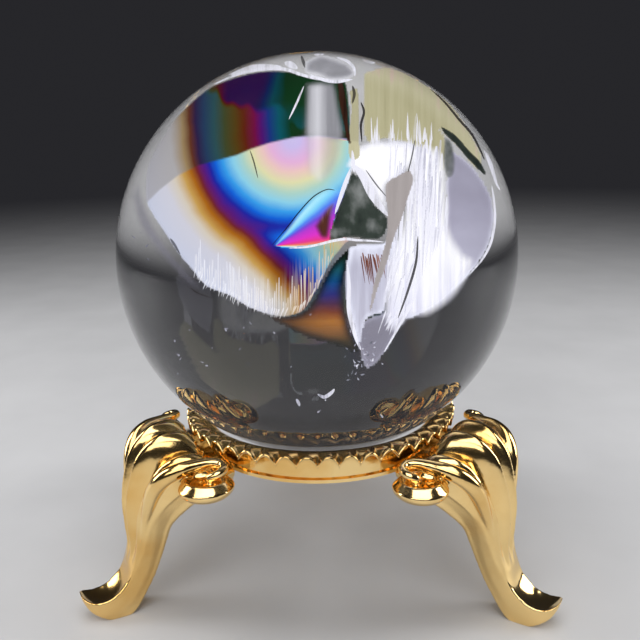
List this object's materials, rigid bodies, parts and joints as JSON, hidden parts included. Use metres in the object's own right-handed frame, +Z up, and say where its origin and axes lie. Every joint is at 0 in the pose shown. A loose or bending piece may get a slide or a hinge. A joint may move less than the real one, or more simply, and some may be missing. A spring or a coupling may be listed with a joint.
{
  "type": "crystal ball on stand",
  "caption": "Polished rainbow-quartz ball resting loose in the fluted ring of a gilt stand with cast scroll legs, for fortune-telling and stage props.",
  "frame": {"origin": "on the table, under the middle of the bounding box; the stand's vertical axis and the ball's centre lie 3.65 mm in front of it, at Y = -0.00365 m", "axes": "+Z up from the table, +Y towards the back leg, +X to the right seen from the front"},
  "size_m": [0.0572, 0.0574, 0.0662],
  "materials": {
    "rainbow_quartz": "polished clear quartz with internal veils",
    "gilt_rim": "polished gold plate",
    "gilt_band": "polished gold plate",
    "gilt_leg_back": "polished gold plate on a casting",
    "gilt_leg_left": "polished gold plate on a casting",
    "gilt_leg_right": "polished gold plate on a casting",
    "steel_leg_back": "plain turned steel",
    "steel_leg_left": "plain turned steel",
    "steel_leg_right": "plain turned steel"
  },
  "bodies": {
    "stand": {"rim_ring": "gilt_rim", "ring_band": "gilt_band", "leg_back": "gilt_leg_back", "leg_left": "gilt_leg_left", "leg_right": "gilt_leg_right", "leg_screw_back": "steel_leg_back", "leg_screw_left": "steel_leg_left", "leg_screw_right": "steel_leg_right"},
    "ball": {"crystal_ball": "rainbow_quartz"}
  },
  "joints": [
    {"name": "ball_lift", "type": "slide", "parent": "stand", "child": "ball", "axis": [0, 0, 1], "range_m": [0, 0.03]}
  ]
}
